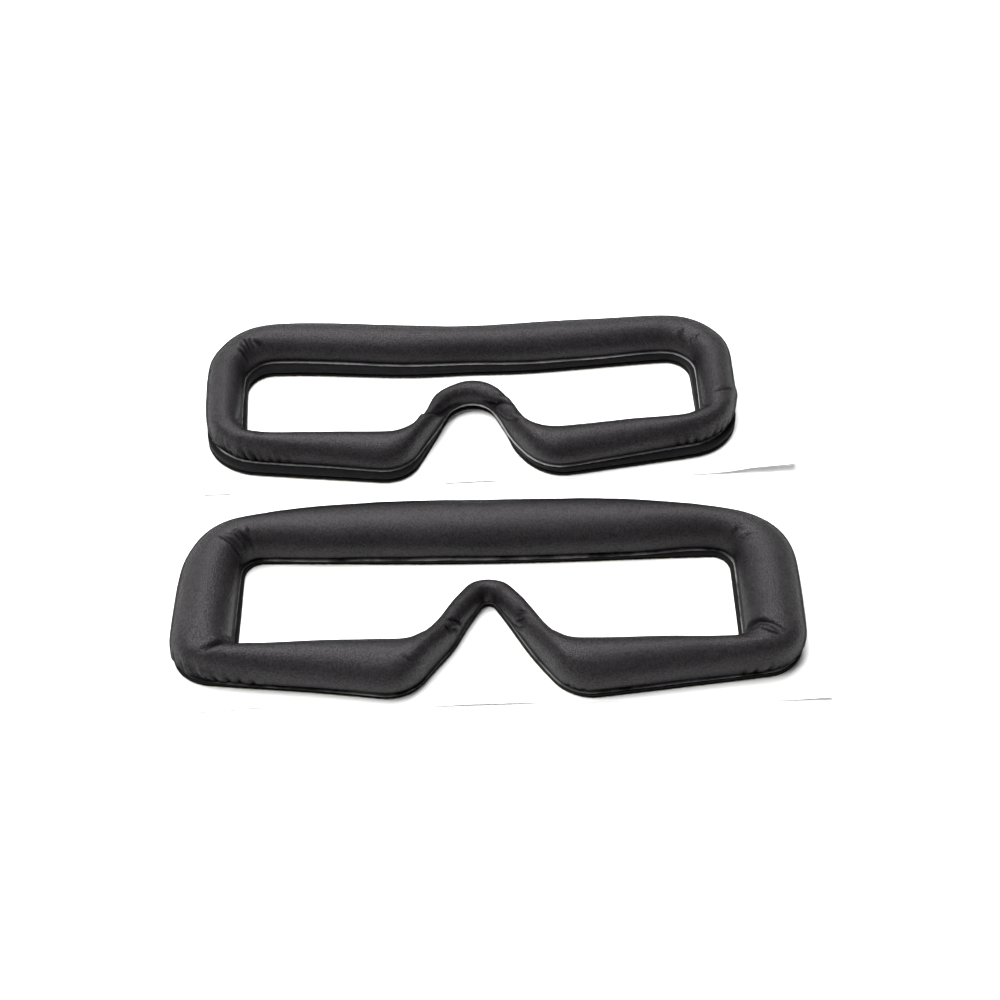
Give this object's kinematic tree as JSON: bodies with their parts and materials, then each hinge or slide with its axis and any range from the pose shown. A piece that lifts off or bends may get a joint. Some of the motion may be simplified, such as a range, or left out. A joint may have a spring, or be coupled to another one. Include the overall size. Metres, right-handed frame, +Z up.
{
  "type": "goggle face pad set",
  "caption": "Padded face cushions for video goggles: closed rings with a nose notch, imitation leather over foam, hook-and-loop backed, on paper release liners.",
  "frame": {"origin": "on the table, at the bottom centre of the whole set's box", "axes": "+X along the pads, the wearer's right to left as they lie; +Y from the wide pad to the narrow pad, which is the forehead side of each; +Z up, from the hook side to the face side"},
  "size_m": [0.1927, 0.1669, 0.0135],
  "materials": {
    "leather": "matte",
    "foam": "matte",
    "backing_board": "matte",
    "loop_pile": "matte",
    "hook_tape": "satin",
    "adhesive": "gloss",
    "release_paper": "satin"
  },
  "bodies": {
    "wide_liner": {"wide_release_liner": "release_paper"},
    "wide_tape": {"wide_adhesive_film": "adhesive", "wide_hook_tape": "hook_tape"},
    "wide_pad": {"wide_loop_tape": "loop_pile", "wide_backing": "backing_board"},
    "wide_cushion": {"wide_foam_core": "foam", "wide_cover": "leather"},
    "narrow_liner": {"narrow_release_liner": "release_paper"},
    "narrow_tape": {"narrow_adhesive_film": "adhesive", "narrow_hook_tape": "hook_tape"},
    "narrow_pad": {"narrow_loop_tape": "loop_pile", "narrow_backing": "backing_board"},
    "narrow_cushion": {"narrow_foam_core": "foam", "narrow_cover": "leather"}
  },
  "joints": [
    {"name": "wide_liner_peel", "type": "slide", "parent": "wide_liner", "child": "wide_tape", "axis": [0, 0, 1], "range_m": [0, 0.02]},
    {"name": "wide_pad_lift", "type": "slide", "parent": "wide_tape", "child": "wide_pad", "axis": [0, 0, 1], "range_m": [0, 0.03]},
    {"name": "wide_foam_press", "type": "slide", "parent": "wide_pad", "child": "wide_cushion", "axis": [0, 0, -1], "range_m": [0, 0.004], "stiffness_N_per_m": 1500, "deforming": ["wide_cover", "wide_foam_core"]},
    {"name": "narrow_set_shift", "type": "slide", "parent": "wide_liner", "child": "narrow_liner", "axis": [0, 1, 0], "range_m": [0, 0.04]},
    {"name": "narrow_liner_peel", "type": "slide", "parent": "narrow_liner", "child": "narrow_tape", "axis": [0, 0, 1], "range_m": [0, 0.02]},
    {"name": "narrow_pad_lift", "type": "slide", "parent": "narrow_tape", "child": "narrow_pad", "axis": [0, 0, 1], "range_m": [0, 0.03]},
    {"name": "narrow_foam_press", "type": "slide", "parent": "narrow_pad", "child": "narrow_cushion", "axis": [0, 0, -1], "range_m": [0, 0.004], "stiffness_N_per_m": 1500, "deforming": ["narrow_cover", "narrow_foam_core"]}
  ]
}
